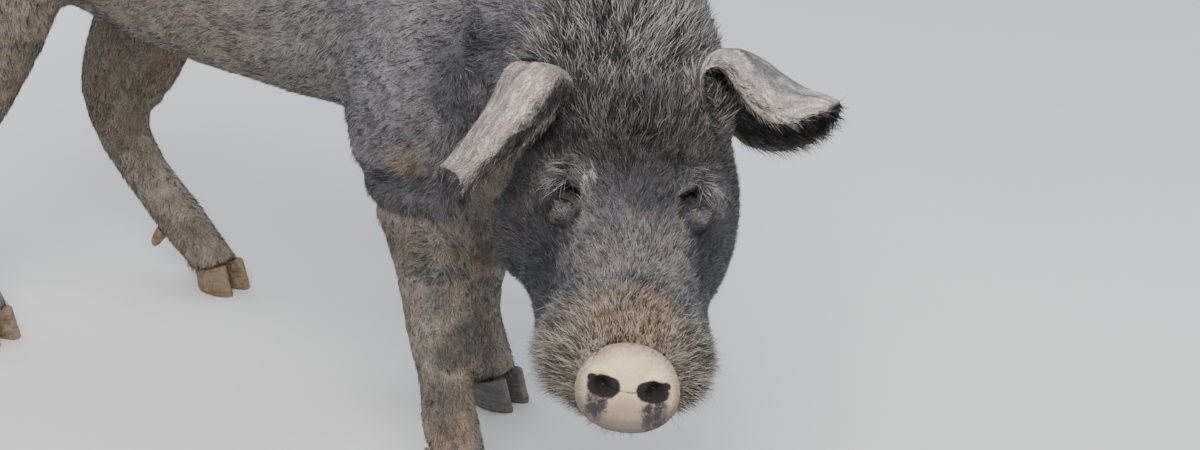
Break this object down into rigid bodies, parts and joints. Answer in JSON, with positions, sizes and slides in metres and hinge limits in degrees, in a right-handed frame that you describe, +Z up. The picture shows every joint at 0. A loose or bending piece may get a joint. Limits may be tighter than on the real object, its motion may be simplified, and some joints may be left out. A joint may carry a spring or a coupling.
{
  "type": "pig",
  "caption": "Life-size still model of a lean black pig standing in mid-stride, head lowered and turned to its right, drooping ears held out sideways.",
  "frame": {"origin": "on the floor, under the middle of the whole model's box", "axes": "+Z up, the pig faces -Y (its trunk lies along Y), +X is the pig's left"},
  "size_m": [0.5606, 1.2978, 0.7619],
  "materials": {
    "hide": "dusty slate-black skin with sparse bristles",
    "ear": "dusty grey-beige thin skin with a pink rim",
    "disc": "bare cream-pink skin, moist round the nostrils",
    "eye": "wet dark brown",
    "claw": "worn horn"
  },
  "bodies": {
    "root": {"head": "hide", "lower_jaw": "hide", "neck": "hide", "trunk": "hide", "tail": "hide", "right_fore_upper": "hide", "right_fore_lower": "hide", "right_hind_upper": "hide", "right_hind_lower": "hide", "left_fore_upper": "hide", "left_fore_lower": "hide", "left_hind_upper": "hide", "left_hind_lower": "hide", "ear_right": "ear", "ear_left": "ear", "eye_right": "eye", "eye_left": "eye", "snout_disc": "disc", "claw_right_fore_a": "claw", "claw_right_fore_b": "claw", "claw_right_hind_a": "claw", "claw_right_hind_b": "claw", "claw_left_fore_a": "claw", "claw_left_fore_b": "claw", "claw_left_hind_a": "claw", "claw_left_hind_b": "claw", "dewclaw_right_fore_a": "claw", "dewclaw_right_fore_b": "claw", "dewclaw_right_hind_a": "claw", "dewclaw_right_hind_b": "claw", "dewclaw_left_fore_a": "claw", "dewclaw_left_fore_b": "claw", "dewclaw_left_hind_a": "claw", "dewclaw_left_hind_b": "claw"}
  },
  "joints": []
}
